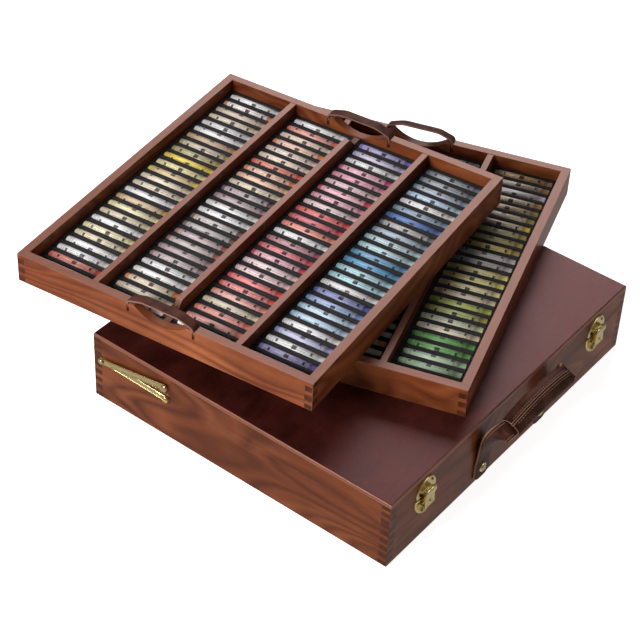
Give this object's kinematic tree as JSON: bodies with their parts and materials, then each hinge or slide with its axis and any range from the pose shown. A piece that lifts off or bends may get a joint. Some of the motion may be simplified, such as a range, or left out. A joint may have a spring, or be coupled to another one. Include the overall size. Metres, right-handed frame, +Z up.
{
  "type": "pastel storage case",
  "caption": "Wooden carrying case for pastel sticks with a hinged lid, brass latches, a leather handle, and lift-out trays of sticks in foam rows stacked turned on the closed lid",
  "frame": {"origin": "centre of the closed case's underside, on the surface that it stands on", "axes": "+X runs along the case's front to the right, -Y is the front face with the latches and the carrying handle, +Y is the hinge side, +Z is up"},
  "size_m": [0.5261, 0.5361, 0.1598],
  "materials": {
    "case_wood": "satin lacquered brown wood",
    "lid_lacquer": "gloss lacquered dark red-brown wood",
    "tray_wood": "satin lacquered brown wood",
    "foam": "matt black foam",
    "sticks_1": "matt chalk in paper sleeves, yellows and creams",
    "sticks_2": "matt chalk in paper sleeves, corals and mauves",
    "sticks_3": "matt chalk in paper sleeves, reds and pinks",
    "sticks_4": "matt chalk in paper sleeves, blues and greens",
    "brass": "polished brass plate",
    "handle_leather": "dark brown rolled leather",
    "strap_leather": "dark brown flat leather"
  },
  "bodies": {
    "case_base": {"base_front_wall": "case_wood", "base_back_wall": "case_wood", "base_left_wall": "case_wood", "base_right_wall": "case_wood", "base_bottom_panel": "case_wood", "hinge_base_leaf": "brass", "hinge_pin": "brass", "hinge_base_screws": "brass", "latch_plates": "brass", "latch_pins": "brass", "latch_plate_screws": "brass", "stay_base_screws": "brass", "handle_tabs": "handle_leather", "handle_screws": "brass"},
    "lid": {"lid_front_wall": "case_wood", "lid_back_wall": "case_wood", "lid_left_wall": "case_wood", "lid_right_wall": "case_wood", "lid_top_panel": "lid_lacquer", "hinge_lid_leaf": "brass", "hinge_lid_screws": "brass", "latch_catches": "brass", "latch_catch_screws": "brass", "stay_lid_screws": "brass"},
    "latch_left": {"latch_lever_left": "brass", "latch_hook_left": "brass"},
    "stay_lower_left": {"stay_lower_arm_left": "brass"},
    "stay_upper_left": {"stay_upper_arm_left": "brass", "stay_rivet_left": "brass"},
    "latch_right": {"latch_lever_right": "brass", "latch_hook_right": "brass"},
    "stay_lower_right": {"stay_lower_arm_right": "brass"},
    "stay_upper_right": {"stay_upper_arm_right": "brass", "stay_rivet_right": "brass"},
    "carry_handle": {"handle_grip": "handle_leather", "handle_straps": "handle_leather"},
    "lower_tray": {"lower_tray_side_walls": "tray_wood", "lower_tray_end_walls": "tray_wood", "lower_tray_bottom_panel": "tray_wood", "lower_tray_dividers": "tray_wood", "lower_tray_foam_beds": "foam", "lower_tray_sticks_column_1": "sticks_1", "lower_tray_sticks_column_2": "sticks_2", "lower_tray_sticks_column_3": "sticks_3", "lower_tray_sticks_column_4": "sticks_4", "lower_tray_strap_pins": "brass", "lower_tray_front_strap": "strap_leather"},
    "upper_tray": {"upper_tray_side_walls": "tray_wood", "upper_tray_end_walls": "tray_wood", "upper_tray_bottom_panel": "tray_wood", "upper_tray_dividers": "tray_wood", "upper_tray_foam_beds": "foam", "upper_tray_sticks_column_1": "sticks_1", "upper_tray_sticks_column_2": "sticks_2", "upper_tray_sticks_column_3": "sticks_3", "upper_tray_sticks_column_4": "sticks_4", "upper_tray_strap_pins": "brass"},
    "lower_back_strap": {"lower_tray_back_strap": "strap_leather"},
    "upper_front_strap": {"upper_tray_front_strap": "strap_leather"},
    "upper_back_strap": {"upper_tray_back_strap": "strap_leather"}
  },
  "joints": [
    {"name": "lid_hinge", "type": "hinge", "parent": "case_base", "child": "lid", "pos_m": [0, 0.1876, 0.056], "axis": [-1, 0, 0], "range_deg": [0, 95]},
    {"name": "carry_handle_fold", "type": "hinge", "parent": "case_base", "child": "carry_handle", "pos_m": [0, -0.1869, 0.03], "axis": [1, 0, 0], "range_deg": [-5, 75]},
    {"name": "lower_tray_lift", "type": "slide", "parent": "lid", "child": "lower_tray", "axis": [0, 0, 1], "range_m": [0, 0.12]},
    {"name": "upper_tray_lift", "type": "slide", "parent": "lower_tray", "child": "upper_tray", "axis": [0, 0, 1], "range_m": [0, 0.1]},
    {"name": "lower_back_strap_swing", "type": "hinge", "parent": "lower_tray", "child": "lower_back_strap", "pos_m": [0.24474, 0.11053, 0.1101], "axis": [-0.304, 0.9527, 0], "range_deg": [-98, 78]},
    {"name": "upper_front_strap_swing", "type": "hinge", "parent": "upper_tray", "child": "upper_front_strap", "pos_m": [-0.20025, 0.09841, 0.1442], "axis": [0.1174, -0.9931, 0], "range_deg": [-86, 90]},
    {"name": "upper_back_strap_swing", "type": "hinge", "parent": "upper_tray", "child": "upper_back_strap", "pos_m": [0.17365, 0.14259, 0.1442], "axis": [-0.1174, 0.9931, 0], "range_deg": [-86, 90]},
    {"name": "latch_left_pivot", "type": "hinge", "parent": "case_base", "child": "latch_left", "pos_m": [-0.151, -0.189, 0.044], "axis": [1, 0, 0], "range_deg": [0, 100]},
    {"name": "stay_lower_left_pivot", "type": "hinge", "parent": "case_base", "child": "stay_lower_left", "pos_m": [-0.2087, 0.089, 0.051], "axis": [1, 0, 0], "range_deg": [0, 17]},
    {"name": "stay_upper_left_pivot", "type": "hinge", "parent": "lid", "child": "stay_upper_left", "pos_m": [-0.2105, 0.089, 0.067], "axis": [1, 0, 0], "range_deg": [-12.5, 0]},
    {"name": "latch_right_pivot", "type": "hinge", "parent": "case_base", "child": "latch_right", "pos_m": [0.151, -0.189, 0.044], "axis": [1, 0, 0], "range_deg": [0, 100]},
    {"name": "stay_lower_right_pivot", "type": "hinge", "parent": "case_base", "child": "stay_lower_right", "pos_m": [0.2087, 0.089, 0.051], "axis": [1, 0, 0], "range_deg": [0, 17]},
    {"name": "stay_upper_right_pivot", "type": "hinge", "parent": "lid", "child": "stay_upper_right", "pos_m": [0.2105, 0.089, 0.067], "axis": [1, 0, 0], "range_deg": [-12.5, 0]}
  ],
  "couplings": [
    {"joint": "stay_lower_left_pivot", "follows": "lid_hinge", "ratio": 0.176},
    {"joint": "stay_upper_left_pivot", "follows": "lid_hinge", "ratio": -0.128},
    {"joint": "stay_lower_right_pivot", "follows": "lid_hinge", "ratio": 0.176},
    {"joint": "stay_upper_right_pivot", "follows": "lid_hinge", "ratio": -0.128}
  ]
}
